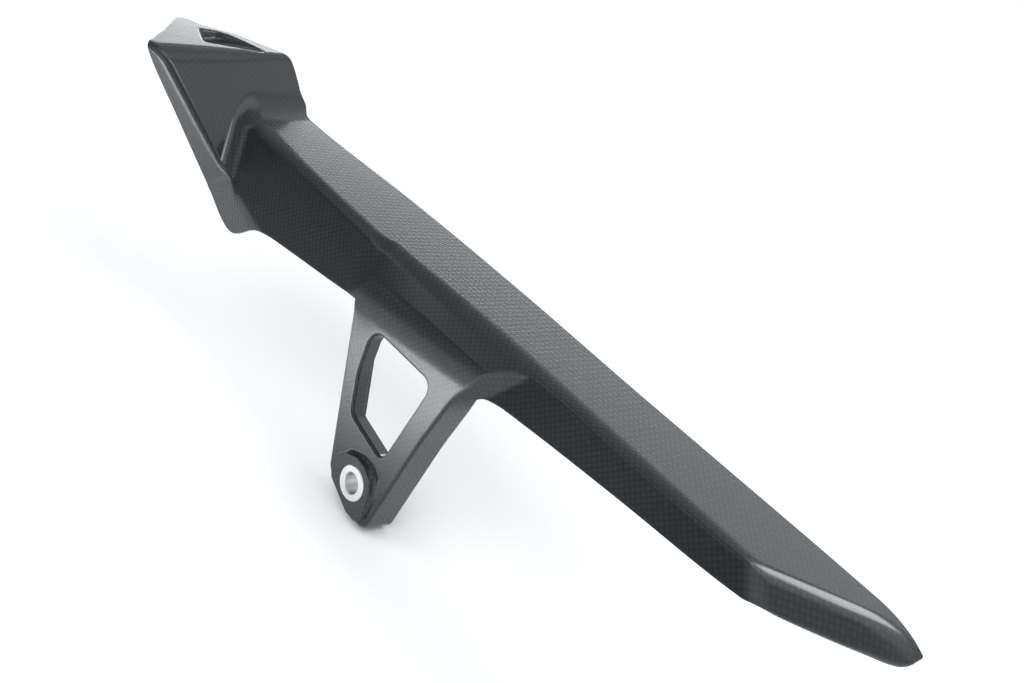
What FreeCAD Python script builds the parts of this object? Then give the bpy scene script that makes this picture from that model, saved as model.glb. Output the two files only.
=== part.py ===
import FreeCAD, Part
import Sketcher

import math
import os

os.makedirs("parts", exist_ok=True)
V = FreeCAD.Vector

# Chain guard: one moulded carbon shell with an aluminium bush bonded into its bracket.
# Frame: +X to the rear tip, +Y inward to the wheel, +Z up, origin on the bush axis at its outer face.

doc = FreeCAD.newDocument("chain_guard")
sheet = doc.addObject("Spreadsheet::Sheet", "sizes")

# Driving dimensions in millimetres and degrees
SIZES = [
    ("skin", 2.0, "laminate thickness"),
    ("top_level", 80.5, "height of the flat top face"),
    ("wall_lean", 21.8, "lean of the side wall from upright"),
    ("wall_foot", -15.41, "where the front wall plane meets the height of the bush axis"),
    ("crease_radius", 6.0, "round between top and wall at the front"),
    ("crease_cut", 2.5, "corner cut that the front round is set in"),
    ("shoulder_start", -48.0, "front end of the bracket shoulder"),
    ("ridge_drop", 8.7, "height of the shoulder ridge below the top face"),
    ("shoulder_radius", 14.0, "roll from the top face into the shoulder"),
    ("rear_crease_radius", 1.2, "round of the rear crease"),
    ("ramp_angle", 54.0, "slope of the front ramp"),
    ("front_turn", 12.0, "turn of the ramp and deck seen from above"),
    ("ramp_foot", 159.8, "ramp foot ahead of the bush axis"),
    ("deck_level", 101.5, "height of the front deck"),
    ("fold_radius", 10.0, "hollow round at the ramp foot"),
    ("deck_radius", 3.0, "round at the ramp head"),
    ("pocket_depth", 5.5, "depth of the fixing recess"),
    ("screw_bore", 6.6, "hole for the front screw"),
    ("bracket_turn", 2.5, "turn of the bracket face seen from above"),
    ("bracket_tilt", 7.0, "lean of the bracket face from upright"),
    ("bracket_inset", 2.3, "bracket face behind the bush face, on the bush axis"),
    ("bracket_depth", 14.5, "depth of the bracket's return flange"),
    ("window_lip", 7.0, "depth of the lip round the window"),
    ("bush_diameter", 14.8, "outside diameter of the bush"),
    ("bush_bore", 8.5, "bore of the bush"),
    ("bush_length", 15.0, "length of the bush"),
    ("bush_chamfer", 0.4, "chamfer at the ends of the bush"),
    ("bush_proud", 0.3, "bush end proud of its pad"),
    ("bond_gap", 0.04, "adhesive gap round the bush"),
    ("barrel_wall", 2.3, "laminate round the bush"),
]
for row, (alias, number, meaning) in enumerate(SIZES, start=1):
    sheet.set("A%d" % row, meaning)
    sheet.set("B%d" % row, repr(number))
    sheet.setAlias("B%d" % row, alias)
doc.recompute()


def size(alias):
    return float(getattr(sheet, alias))


SKIN = size("skin")
TOP = size("top_level")
WALL_SLOPE = math.tan(math.radians(size("wall_lean")))
WALL_TURN = 0.0108


def front_wall_y(x, z):
    """Outer face of the front wall: it leans out as it goes down and turns a little along the guard."""
    return size("wall_foot") + WALL_SLOPE * z + WALL_TURN * x


def corner_curve(last, here, following, radius):
    """Entry point, arc middle and exit point of a round set in one corner."""
    to_last = (last - here).normalize()
    to_next = (following - here).normalize()
    half = to_last.getAngle(to_next) / 2.0
    reach = radius / math.tan(half)
    middle = (to_last + to_next).normalize()
    apex = here + middle * (radius / math.sin(half) - radius)
    return here + to_last * reach, apex, here + to_next * reach


def rounded_outline(corners, radii):
    """Closed chain of lines and arcs through the corners, a radius of 0 keeping a corner sharp."""
    count = len(corners)
    rounds = []
    for i, radius in enumerate(radii):
        here = corners[i]
        if radius > 0:
            rounds.append(corner_curve(corners[i - 1], here, corners[(i + 1) % count], radius))
        else:
            rounds.append((here, None, here))
    chain = []
    for i, (entry, apex, leave) in enumerate(rounds):
        if apex is not None:
            chain.append(Part.Arc(entry, apex, leave))
        chain.append(Part.LineSegment(leave, rounds[(i + 1) % count][0]))
    return chain


def outline_wire(corners, radii):
    return Part.Wire([curve.toShape() for curve in rounded_outline(corners, radii)])


# Blade: each section is a thick bent strip across the guard, given by its outer line
def offset_line(points, distance):
    """Open line in the Y and Z of a section, moved to its inner side with mitred corners."""
    normals = []
    for a, b in zip(points, points[1:]):
        along = (b[0] - a[0], b[1] - a[1])
        length = math.hypot(*along)
        normals.append((-along[1] / length, along[0] / length))
    moved = []
    for i, p in enumerate(points):
        before = normals[max(i - 1, 0)]
        after = normals[min(i, len(normals) - 1)]
        mid = (before[0] + after[0], before[1] + after[1])
        scale = 2.0 * distance / (mid[0] ** 2 + mid[1] ** 2)
        moved.append((p[0] + mid[0] * scale, p[1] + mid[1] * scale))
    return moved


def crossing(a, b, c, d):
    """Where the line through a and b crosses the line through c and d."""
    r = (b[0] - a[0], b[1] - a[1])
    q = (d[0] - c[0], d[1] - c[1])
    k = ((c[0] - a[0]) * q[1] - (c[1] - a[1]) * q[0]) / (r[0] * q[1] - r[1] * q[0])
    return a[0] + r[0] * k, a[1] + r[1] * k


def toward(a, b, distance):
    length = math.hypot(b[0] - a[0], b[1] - a[1])
    return a[0] + (b[0] - a[0]) * distance / length, a[1] + (b[1] - a[1]) * distance / length


def blade_section(places, line, crease_round, ridge_round, thickness=None):
    """Section through inner edge, crease, ridge and lower edge; places are the X of the four."""
    thickness = thickness or SKIN
    inner = offset_line(line, thickness)
    short = math.hypot(line[1][0] - line[2][0], line[1][1] - line[2][1]) < 3.0
    if short:
        apex = crossing(line[0], line[1], line[2], line[3])
        bent = offset_line([line[0], apex, line[3]], thickness)
        inner = [bent[0], toward(bent[1], bent[0], 0.15), toward(bent[1], bent[2], 0.15), bent[2]]
    outer_corners = [V(x, y, z) for x, (y, z) in zip(places, line)]
    inner_corners = [V(x, y, z) for x, (y, z) in zip(places, inner)]
    corners = outer_corners + inner_corners[::-1]
    return outline_wire(corners, [0, crease_round, ridge_round, 0, 0, 0, 0, 0])


def front_section(x, inner_y, low_z):
    cut = size("crease_cut")
    ridge_z = TOP - cut * math.cos(math.radians(size("wall_lean")))
    line = [
        (inner_y, TOP),
        (front_wall_y(x, TOP) + cut, TOP),
        (front_wall_y(x, ridge_z), ridge_z),
        (front_wall_y(x, low_z), low_z),
    ]
    radius = size("crease_radius")
    return blade_section([x] * 4, line, radius, radius)


def shoulder_section(x, inner_y, crease_y, ridge_z, low_z):
    line = [
        (inner_y, TOP),
        (crease_y, TOP),
        (front_wall_y(x, ridge_z), ridge_z),
        (front_wall_y(x, low_z), low_z),
    ]
    return blade_section([x] * 4, line, size("shoulder_radius"), 1.0)


def rear_section(places, inner_point, crease, low_point, thickness=None):
    cut = size("rear_crease_radius")
    line = [
        inner_point,
        crease,
        (crease[0] - 0.75 * cut, crease[1] - cut),
        low_point,
    ]
    return blade_section(places, line, 0.9 * cut, 0.9 * cut, thickness)


shoulder_x = size("shoulder_start")
ridge_z = TOP - size("ridge_drop")
foot_x = -size("ramp_foot")
sections = [
    front_section(foot_x - 20.2, 57.2, 63.0),
    front_section(foot_x - 8.2, 53.9, 60.0),
    front_section(foot_x + 13.4, 54.6, 56.0),
    front_section(-121.0, 57.0, 50.8),
    front_section(-112.0, 58.0, 49.8),
    front_section(-104.0, 58.9, 51.6),
    front_section(shoulder_x - 1.5, 62.8, 57.9),
    shoulder_section(shoulder_x, 62.9, 19.8, ridge_z - 2.2, 58.1),
    shoulder_section(shoulder_x + 43.0, 64.0, 23.4, ridge_z - 0.5, 63.3),
    shoulder_section(24.0, 64.2, 24.5, ridge_z + 0.5, 66.8),
    blade_section(
        [28.0, 34.0, 35.5, 26.2],
        [(64.2, TOP), (24.3, TOP), (20.0, 78.0), (11.5, 66.3)],
        2.0,
        1.0,
    ),
    rear_section([38.0, 38.0, 37.6, 32.0], (64.2, TOP), (23.8, TOP), (16.2, 63.0)),
    rear_section([60.0] * 4, (64.4, TOP), (24.8, TOP), (19.2, 65.1)),
    rear_section([98.0] * 4, (65.2, TOP), (25.1, TOP), (21.0, 67.6)),
    rear_section([130.0] * 4, (66.1, TOP), (26.7, TOP), (22.5, 69.7)),
    rear_section([147.0, 147.0, 147.3, 151.5], (66.4, TOP), (28.0, TOP), (24.2, 71.1)),
    rear_section([169.0, 165.7, 166.0, 172.4], (66.6, TOP), (43.0, TOP), (40.3, 72.4)),
    rear_section([182.0, 178.0, 178.4, 184.3], (66.6, 79.7), (54.8, 80.2), (51.3, 73.2)),
    rear_section([190.5, 187.0, 187.3, 191.4], (66.8, 77.4), (61.3, 78.6), (58.6, 73.6), 1.5),
    rear_section([194.3] * 4, (66.9, 76.0), (65.2, 76.4), (63.6, 73.9), 0.8),
]
blade = doc.addObject("Part::Feature", "blade")
blade.Shape = Part.makeLoft(sections, True, True)


def body_with_origin(name, placement):
    body = doc.addObject("PartDesign::Body", name)
    body.Placement = placement
    return body


def origin_plane(body, role):
    return [f for f in body.Origin.OriginFeatures if f.Role == role][0]


def outline_sketch(body, name, role, points, radii, height=0.0):
    """Closed sketch of lines and arcs on one of the body's own planes."""
    sketch = body.newObject("Sketcher::SketchObject", name)
    sketch.AttachmentSupport = [(origin_plane(body, role), "")]
    sketch.MapMode = "FlatFace"
    sketch.AttachmentOffset = FreeCAD.Placement(V(0, 0, height), FreeCAD.Rotation())
    corners = [V(u, v, 0) for u, v in points]
    sketch.addGeometry(rounded_outline(corners, radii), False)
    return sketch


def pad(body, name, sketch, length, reverse=False):
    feature = body.newObject("PartDesign::Pad", name)
    feature.Profile = sketch
    feature.setExpression("Length", length)
    feature.Reversed = reverse
    body.Tip = feature
    return feature


def pocket_through(body, name, sketch, reverse=False):
    feature = body.newObject("PartDesign::Pocket", name)
    feature.Profile = sketch
    feature.Type = "ThroughAll"
    feature.Reversed = reverse
    body.Tip = feature
    return feature


def half_space(name, point, outward, reach=600.0):
    """Large block that fills the inner side of a plane."""
    block = doc.addObject("Part::Box", name)
    block.Length = reach
    block.Width = reach
    block.Height = reach
    turn = FreeCAD.Rotation(V(0, 0, -1), outward)
    corner = point - turn.multVec(V(reach / 2.0, reach / 2.0, 0))
    block.Placement = FreeCAD.Placement(corner, turn)
    return block


def fused(name, pieces):
    joined = doc.addObject("Part::MultiFuse", name)
    joined.Shapes = pieces
    return joined


def shared(name, pieces):
    common = doc.addObject("Part::MultiCommon", name)
    common.Shapes = pieces
    return common


def without(name, base, tool):
    cut = doc.addObject("Part::Cut", name)
    cut.Base = base
    cut.Tool = tool
    return cut


lean = math.radians(size("wall_lean"))
wall_out = V(WALL_TURN * math.cos(lean), -math.cos(lean), math.sin(lean)).normalize()
wall_point = V(0, front_wall_y(0, TOP), TOP)
slope = math.radians(size("ramp_angle"))
turn = size("front_turn")
front_place = FreeCAD.Placement(V(0, 0, 0), FreeCAD.Rotation(V(0, 0, 1), turn))
ramp_out = front_place.multVec(V(math.sin(slope), 0, math.cos(slope)))
ramp_point = front_place.multVec(V(-size("ramp_foot"), 0, TOP))

# Ramp and deck: one bent sheet, trimmed to its plan outline and to the side wall
deck_z = size("deck_level")
ramp_head = -size("ramp_foot") - (deck_z - TOP) / math.tan(slope)
ramp_low_z = 46.0
ramp_low = ramp_head + (deck_z - ramp_low_z) / math.tan(slope)
bend = SKIN * math.tan(slope / 2.0)
foot = SKIN / math.sin(slope)
ramp = body_with_origin("ramp", front_place)
ramp_profile = outline_sketch(
    ramp,
    "ramp_profile",
    "XZ_Plane",
    [
        (ramp_head - 60.0, deck_z),
        (ramp_head, deck_z),
        (ramp_low, ramp_low_z),
        (ramp_low - foot, ramp_low_z),
        (ramp_head - bend, deck_z - SKIN),
        (ramp_head - 60.0, deck_z - SKIN),
    ],
    [0, size("deck_radius"), 0, 0, 1.0, 0],
)
ramp_pad = pad(ramp, "ramp_sheet", ramp_profile, "260")
ramp_pad.Midplane = True

front_plan = body_with_origin("front_plan", FreeCAD.Placement())
plan_sketch = outline_sketch(
    front_plan,
    "front_outline",
    "XY_Plane",
    [
        (foot_x - 12.6, -33.6),
        (foot_x - 60.1, 5.4),
        (foot_x - 52.6, 13.4),
        (foot_x - 47.6, 29.3),
        (foot_x - 30.4, 48.8),
        (foot_x - 15.9, 56.6),
        (foot_x + 39.8, 60.0),
        (foot_x + 39.8, 38.5),
    ],
    [4.5, 4.0, 4.0, 8.0, 6.0, 0, 0, 0],
)
pad(front_plan, "front_column", plan_sketch, "160")

inner_wall = half_space("inside_wall", wall_point - wall_out * SKIN, wall_out)
under_top = half_space("under_top", V(0, 0, TOP - SKIN), V(0, 0, 1))
hollow_side = shared("hollow_side", [inner_wall, under_top])
ramp_outline = shared("ramp_outline", [ramp, front_plan])
front_sheet = without("front_sheet", ramp_outline, hollow_side)

# Hollow round where the top face runs into the ramp
fold = size("fold_radius")
tangent = fold * math.tan(slope / 2.0)
fold_foot = -size("ramp_foot")
fold_corner = V(fold_foot, 0, TOP)
fold_low = V(fold_foot + tangent, 0, TOP)
fold_high = V(fold_foot - tangent * math.cos(slope), 0, TOP + tangent * math.sin(slope))
fold_dir = (fold_low - fold_corner).normalize() + (fold_high - fold_corner).normalize()
fold_apex = fold_corner + fold_dir.normalize() * (fold / math.cos(slope / 2.0) - fold)
buried = V(0, 0, -0.6 * SKIN)
fold_wire = Part.Wire([
    Part.Arc(fold_low, fold_apex, fold_high).toShape(),
    Part.LineSegment(fold_high, fold_high + buried).toShape(),
    Part.LineSegment(fold_high + buried, fold_corner + buried).toShape(),
    Part.LineSegment(fold_corner + buried, fold_low + buried).toShape(),
    Part.LineSegment(fold_low + buried, fold_low).toShape(),
])
fold_fill = doc.addObject("Part::Feature", "fold_fill")
fold_fill.Shape = Part.Face(fold_wire).extrude(V(0, 160, 0)).translated(V(0, -70, 0))
fold_fill.Placement = front_place
fold_plan = body_with_origin("fold_plan", FreeCAD.Placement())
fold_outline = outline_sketch(
    fold_plan,
    "fold_outline",
    "XY_Plane",
    [
        (foot_x - 25.2, 20.0),
        (foot_x + 19.8, 20.0),
        (foot_x + 19.8, 54.4),
        (foot_x - 8.2, 53.6),
        (foot_x - 15.9, 56.4),
        (foot_x - 25.2, 51.8),
    ],
    [0, 0, 0, 0, 0, 0],
)
pad(fold_plan, "fold_column", fold_outline, "160")
fold_round = shared("fold_round", [fold_fill, fold_plan])

# Blade trimmed where it meets the underside of the ramp
behind_ramp = half_space("behind_ramp", ramp_point - ramp_out * SKIN, -ramp_out)
blade_trim = shared("blade_trimmed", [blade, behind_ramp])

# Fixing recess pressed into the deck: a wedge, deepest at its outer end
recess = [
    (foot_x - 47.4, 8.9),
    (foot_x - 30.2, 2.9),
    (foot_x - 29.0, 20.0),
    (foot_x - 30.2, 31.5),
    (foot_x - 28.2, 36.5),
    (foot_x - 40.2, 29.3),
    (foot_x - 47.2, 21.3),
]
recess_radii = [2.5, 2.5, 0, 0, 0.8, 2.0, 2.5]
centre = (foot_x - 38.2, 20.0)


def grown(points, amount):
    """Outline moved outward from the middle of the recess."""
    moved = []
    for x, y in points:
        away = V(x - centre[0], y - centre[1], 0)
        away = away * (1.0 + amount / away.Length)
        moved.append((centre[0] + away.x, centre[1] + away.y))
    return moved


floor_run = 27.0
floor_angle = math.atan2(size("pocket_depth"), floor_run)
floor_up = V(0, -math.sin(floor_angle), math.cos(floor_angle))
floor_end = V(foot_x - 35.2, 35.5, deck_z)
below_recess = FreeCAD.Placement(V(0, 0, deck_z - 12.0), FreeCAD.Rotation())
recess_body = body_with_origin("recess_column", below_recess)
recess_sketch = outline_sketch(recess_body, "recess_outline", "XY_Plane", recess, recess_radii)
pad(recess_body, "recess_pad", recess_sketch, "20")
cup = grown(recess, 1.8)
cup_radii = [4.0, 4.0, 0, 0, 1.2, 3.0, 4.0]
cup_body = body_with_origin("cup_column", below_recess)
cup_sketch = outline_sketch(cup_body, "cup_outline", "XY_Plane", cup, cup_radii)
pad(cup_body, "cup_pad", cup_sketch, "11")
above_floor = half_space("above_floor", floor_end, -floor_up)
above_cup = half_space("above_cup", floor_end - floor_up * SKIN, -floor_up)
recess_hole = shared("recess_hole", [recess_body, above_floor])
recess_cup = shared("recess_cup", [cup_body, above_cup])
screw_hole = doc.addObject("Part::Cylinder", "screw_hole")
screw_hole.setExpression("Radius", "sizes.screw_bore / 2")
screw_hole.Height = 30
hole_point = V(foot_x - 38.4, 12.6, deck_z - (floor_end.y - 12.6) * math.tan(floor_angle))
screw_hole.Placement = FreeCAD.Placement(
    hole_point - floor_up * 15.0, FreeCAD.Rotation(V(0, 0, 1), floor_up))

# Skirt: the lower strip that folds back from the groove below the ramp
def skirt_section(upper, lower, inward, thickness):
    step = inward.normalize() * thickness
    points = [upper, lower, lower + step, upper + step]
    return Part.makePolygon(points + [points[0]])


skirt_strip = doc.addObject("Part::Feature", "skirt_strip")
skirt_strip.Shape = Part.makeLoft([
    skirt_section(V(foot_x - 13.5, -28.2, 101.3), V(foot_x - 18.9, -29.1, 98.0), V(-0.40, 0.83, 0.37), SKIN),
    skirt_section(V(foot_x + 13.4, 5.4, 56.0), V(foot_x + 3.1, 4.8, 46.5), V(-0.30, 0.87, 0.37), SKIN),
    skirt_section(V(foot_x + 38.8, 3.6, 50.8), V(foot_x + 32.1, 2.6, 38.8), V(-0.15, 0.95, -0.05), SKIN),
    skirt_section(V(foot_x + 47.2, 3.2, 50.2), V(foot_x + 46.4, 3.1, 48.6), V(-0.05, 0.98, -0.05), SKIN),
], True, True)
below_deck = half_space("below_deck", V(0, 0, deck_z), V(0, 0, 1))
skirt = shared("skirt", [skirt_strip, below_deck])

# Bracket: a dished plate with a lipped window, its flange turned in all round
face_turn = FreeCAD.Rotation(V(0, 0, 1), size("bracket_turn"))
face_tilt = FreeCAD.Rotation(V(1, 0, 0), 90.0 - size("bracket_tilt"))
face_rotation = face_turn.multiply(face_tilt)
face_out = face_rotation.multVec(V(0, 0, 1))
face_place = FreeCAD.Placement(-face_out * size("bracket_inset"), face_rotation)
bracket = body_with_origin("bracket", face_place)
rim = [
    (-49.0, 71.0),
    (-16.3, -3.2),
    (-12.0, -7.0),
    (3.0, -12.9),
    (14.2, -12.9),
    (18.4, 32.0),
    (22.3, 56.5),
    (27.2, 69.0),
    (27.2, 71.0),
]
rim_radii = [0, 4.0, 8.0, 8.0, 4.0, 90.0, 50.0, 0, 0]
dish = [
    (-46.6, 72.0),
    (-14.6, -1.6),
    (-11.0, -5.2),
    (3.4, -10.9),
    (12.4, -10.9),
    (16.4, 32.2),
    (20.4, 57.2),
    (25.2, 69.4),
    (25.2, 72.0),
]
rim_sketch = outline_sketch(bracket, "rim_outline", "XY_Plane", rim, rim_radii)
pad(bracket, "bracket_plate", rim_sketch, "sizes.bracket_depth", True)
dish_sketch = outline_sketch(bracket, "dish_outline", "XY_Plane", dish, rim_radii, -SKIN)
pocket_through(bracket, "bracket_dish", dish_sketch)
lip = [(-29.8, 56.8), (-26.8, 36.6), (-19.2, 19.2), (8.0, 13.4), (12.4, 56.4)]
lip_sketch = outline_sketch(bracket, "lip_outline", "XY_Plane", lip, [6.0, 30.0, 7.0, 3.5, 6.0])
pad(bracket, "window_collar", lip_sketch, "sizes.window_lip", True)
window = [(-27.3, 54.8), (-24.6, 37.0), (-18.0, 21.1), (6.0, 15.9), (10.3, 54.4)]
window_sketch = outline_sketch(bracket, "window_outline", "XY_Plane", window, [4.0, 30.0, 5.0, 1.5, 4.0])
pocket_through(bracket, "window", window_sketch)
inside_shell = half_space("inside_shell", wall_point, wall_out)
bracket_trim = shared("bracket_trimmed", [bracket, inside_shell])

# Raised pad that levels the leaning face square to the bush axis
pad_base = [
    (-17.4, 0.0),
    (-9.4, 9.8),
    (-1.0, 12.2),
    (5.0, 11.9),
    (10.4, 9.2),
    (12.4, 2.0),
    (13.9, -9.5),
    (10.0, -12.9),
    (3.0, -12.9),
    (-12.4, -6.8),
]
pad_face = [
    (-14.6, 1.0),
    (-9.0, 6.9),
    (-2.6, 9.8),
    (3.2, 9.8),
    (6.6, 7.6),
    (9.7, 1.4),
    (11.4, -9.6),
    (9.0, -11.6),
    (3.0, -11.8),
    (-12.0, -5.9),
]
seat_y = size("bush_proud")
base_points = [face_place.multVec(V(u, v, -0.5 * SKIN)) for u, v in pad_base]
face_points = []
for u, v in pad_face:
    spot = face_place.multVec(V(u, v, 0))
    face_points.append(V(spot.x, seat_y, spot.z))
boss = doc.addObject("Part::Feature", "boss")
boss.Shape = Part.makeLoft([
    Part.makePolygon(base_points + [base_points[0]]),
    Part.makePolygon(face_points + [face_points[0]]),
], True, True)

facing_in = FreeCAD.Rotation(V(0, 0, 1), V(0, 1, 0))
barrel = doc.addObject("Part::Cylinder", "barrel")
barrel.setExpression("Radius", "sizes.bush_diameter / 2 + sizes.barrel_wall")
barrel.setExpression("Height", "sizes.bush_length - sizes.bush_proud - 0.5")
barrel.Placement = FreeCAD.Placement(V(0, seat_y, 0), facing_in)
bush_seat = doc.addObject("Part::Cylinder", "bush_seat")
bush_seat.setExpression("Radius", "sizes.bush_diameter / 2 + sizes.bond_gap")
bush_seat.Height = 60
bush_seat.Placement = FreeCAD.Placement(V(0, -20, 0), facing_in)

shell_solid = fused("shell_solid", [
    blade_trim, front_sheet, fold_round, recess_cup, skirt, bracket_trim, boss, barrel])
shell_holes = fused("shell_holes", [recess_hole, screw_hole, bush_seat])
guard_shell = without("guard_shell", shell_solid, shell_holes)

# Bush: a plain turned sleeve with broken edges
bush = body_with_origin("bush", FreeCAD.Placement(V(0, 0, 0), facing_in))
ring = bush.newObject("Sketcher::SketchObject", "bush_ring")
ring.AttachmentSupport = [(origin_plane(bush, "XY_Plane"), "")]
ring.MapMode = "FlatFace"
ring.addGeometry(Part.Circle(V(0, 0, 0), V(0, 0, 1), size("bush_diameter") / 2.0), False)
ring.addGeometry(Part.Circle(V(0, 0, 0), V(0, 0, 1), size("bush_bore") / 2.0), False)
ring.addConstraint(Sketcher.Constraint("Coincident", 0, 3, -1, 1))
ring.addConstraint(Sketcher.Constraint("Coincident", 1, 3, -1, 1))
outside = ring.addConstraint(Sketcher.Constraint("Diameter", 0, size("bush_diameter")))
inside = ring.addConstraint(Sketcher.Constraint("Diameter", 1, size("bush_bore")))
ring.setExpression("Constraints[%d]" % outside, "sizes.bush_diameter")
ring.setExpression("Constraints[%d]" % inside, "sizes.bush_bore")
sleeve = pad(bush, "bush_sleeve", ring, "sizes.bush_length")
doc.recompute()
rims = []
for number, edge in enumerate(sleeve.Shape.Edges, start=1):
    if isinstance(edge.Curve, Part.Circle):
        rims.append("Edge%d" % number)
broken = bush.newObject("PartDesign::Chamfer", "bush_edges")
broken.Base = (sleeve, rims)
broken.setExpression("Size", "sizes.bush_chamfer")
bush.Tip = broken
doc.recompute()

for item in doc.Objects:
    if "Invalid" in item.State or "Error" in item.State:
        raise RuntimeError("%s could not be built" % item.Label)
for name in ("guard_shell", "bush"):
    built = doc.getObject(name).Shape
    if built.isNull() or not built.isValid():
        raise RuntimeError("%s has no sound shape" % name)
    print(name, len(built.Solids), round(built.Volume), built.BoundBox)
    built.exportStep("parts/%s.step" % name)
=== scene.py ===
import math
from functools import partial

import bpy
import numpy as np
from mathutils import Matrix, Vector
from mathutils.geometry import delaunay_2d_cdt


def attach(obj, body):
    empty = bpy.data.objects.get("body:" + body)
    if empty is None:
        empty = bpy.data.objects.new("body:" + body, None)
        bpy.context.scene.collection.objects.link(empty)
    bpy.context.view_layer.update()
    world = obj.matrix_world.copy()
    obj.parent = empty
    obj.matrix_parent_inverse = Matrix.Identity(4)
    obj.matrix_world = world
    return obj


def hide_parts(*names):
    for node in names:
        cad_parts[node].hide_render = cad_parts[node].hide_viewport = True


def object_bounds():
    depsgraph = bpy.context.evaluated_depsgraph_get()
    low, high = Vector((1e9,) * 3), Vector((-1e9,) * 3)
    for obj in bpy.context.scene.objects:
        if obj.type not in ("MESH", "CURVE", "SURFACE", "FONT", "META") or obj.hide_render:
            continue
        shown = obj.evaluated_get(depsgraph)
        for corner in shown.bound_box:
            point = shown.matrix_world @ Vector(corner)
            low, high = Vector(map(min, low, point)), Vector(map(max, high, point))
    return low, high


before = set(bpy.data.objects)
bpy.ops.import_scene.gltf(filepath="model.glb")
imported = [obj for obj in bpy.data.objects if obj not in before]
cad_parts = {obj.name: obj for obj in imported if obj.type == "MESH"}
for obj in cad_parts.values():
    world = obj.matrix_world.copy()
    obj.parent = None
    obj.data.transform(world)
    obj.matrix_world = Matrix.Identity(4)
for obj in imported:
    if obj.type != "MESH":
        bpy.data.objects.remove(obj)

FIRST_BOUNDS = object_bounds()
MM = 0.001


def srgb(code):
    """Hex colour as the eye reads it, turned into linear red, green, blue and alpha."""
    values = [int(code[i:i + 2], 16) / 255.0 for i in (1, 3, 5)]
    linear = [v / 12.92 if v <= 0.04045 else ((v + 0.055) / 1.055) ** 2.4 for v in values]
    return (*linear, 1.0)


# Shader helpers
def node(tree, kind, settings=None, links=None):
    """Adds a shader node: settings go to attributes or input sockets, links join inputs to outputs."""
    made = tree.nodes.new(kind)
    for key, value in (settings or {}).items():
        if isinstance(key, str) and hasattr(made, key):
            setattr(made, key, value)
        else:
            made.inputs[key].default_value = value
    for key, source in (links or {}).items():
        tree.links.new(source, made.inputs[key])
    return made


def arithmetic(tree, operation, *values):
    """One step of arithmetic on numbers and sockets."""
    linked = {i: v for i, v in enumerate(values) if not isinstance(v, (int, float))}
    fixed = {i: v for i, v in enumerate(values) if isinstance(v, (int, float))}
    return node(tree, "ShaderNodeMath", {"operation": operation, **fixed}, linked).outputs[0]


def blank_material(name):
    """New material with an empty tree and its output."""
    material = bpy.data.materials.new(name)
    material.use_nodes = True
    tree = material.node_tree
    tree.nodes.clear()
    output = tree.nodes.new("ShaderNodeOutputMaterial")
    return material, tree, output


# Width of a bundle of fibre and height of its crown, pitch and depth of the turning marks, in mm
TOW, CROWN = 2.0, 0.1
MARK_PITCH, MARK_DEPTH = 0.25, 0.02


def carbon_laminate():
    """Woven carbon under a satin clear coat.

    The eye reads it as black cloth with a fine check: bundles of fibre cross over and under each other
    at 45 degrees, each crown catches the light along its own fibres, and the coat lays a soft sheen on top.
    The base colour is painted lighter on each crown and darker where the bundles dip: painted sheen and shade.
    """
    material, tree, output = blank_material("carbon_plain_weave")
    calc = partial(arithmetic, tree)
    uv = node(tree, "ShaderNodeUVMap", {"uv_map": "weave"})
    split = node(tree, "ShaderNodeSeparateXYZ", links={0: uv.outputs[0]})
    along, across = split.outputs[0], split.outputs[1]
    turn = math.sqrt(0.5) / TOW
    a = calc("MULTIPLY", calc("ADD", along, across), turn)
    b = calc("MULTIPLY", calc("SUBTRACT", along, across), turn)
    over = calc("PINGPONG", calc("ADD", calc("FLOOR", a), calc("FLOOR", b)), 1.0)
    crown_a = calc("SINE", calc("MULTIPLY", calc("FRACT", a), math.pi))
    crown_b = calc("SINE", calc("MULTIPLY", calc("FRACT", b), math.pi))
    height = calc("POWER", calc("MULTIPLY", crown_a, crown_b), 0.6)
    bump = node(tree, "ShaderNodeBump", {"Strength": 0.75, "Distance": CROWN * MM}, {"Height": height})
    tangent = node(tree, "ShaderNodeTangent", {"direction_type": "UV_MAP", "uv_map": "weave"})
    lay = calc("ADD", calc("MULTIPLY", over, 0.25), 0.125)
    # Painted sheen and shade: the cloth colour is lighter on each crown and darker where the bundles dip
    # under, as light falls on the weave
    painted_crown_sheen = node(tree, "ShaderNodeMapRange", {"To Min": 0.35, "To Max": 1.0}, {"Value": height})
    cloth = node(
        tree, "ShaderNodeMix",
        {"data_type": "RGBA", 6: srgb("#050607"), 7: srgb("#25282b")},
        {0: painted_crown_sheen.outputs[0]},
    )
    surface = node(
        tree, "ShaderNodeBsdfPrincipled",
        {
            "Metallic": 0.2,
            "Roughness": 0.42,
            "Anisotropic": 0.75,
            "IOR": 1.5,
            "Specular IOR Level": 0.1,
            "Coat Weight": 1.0,
            "Coat Roughness": 0.16,
            "Coat IOR": 1.5,
        },
        {
            "Base Color": cloth.outputs[2],
            "Normal": bump.outputs[0],
            "Tangent": tangent.outputs[0],
            "Anisotropic Rotation": lay,
        },
    )
    tree.links.new(surface.outputs[0], output.inputs[0])
    return material


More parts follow.
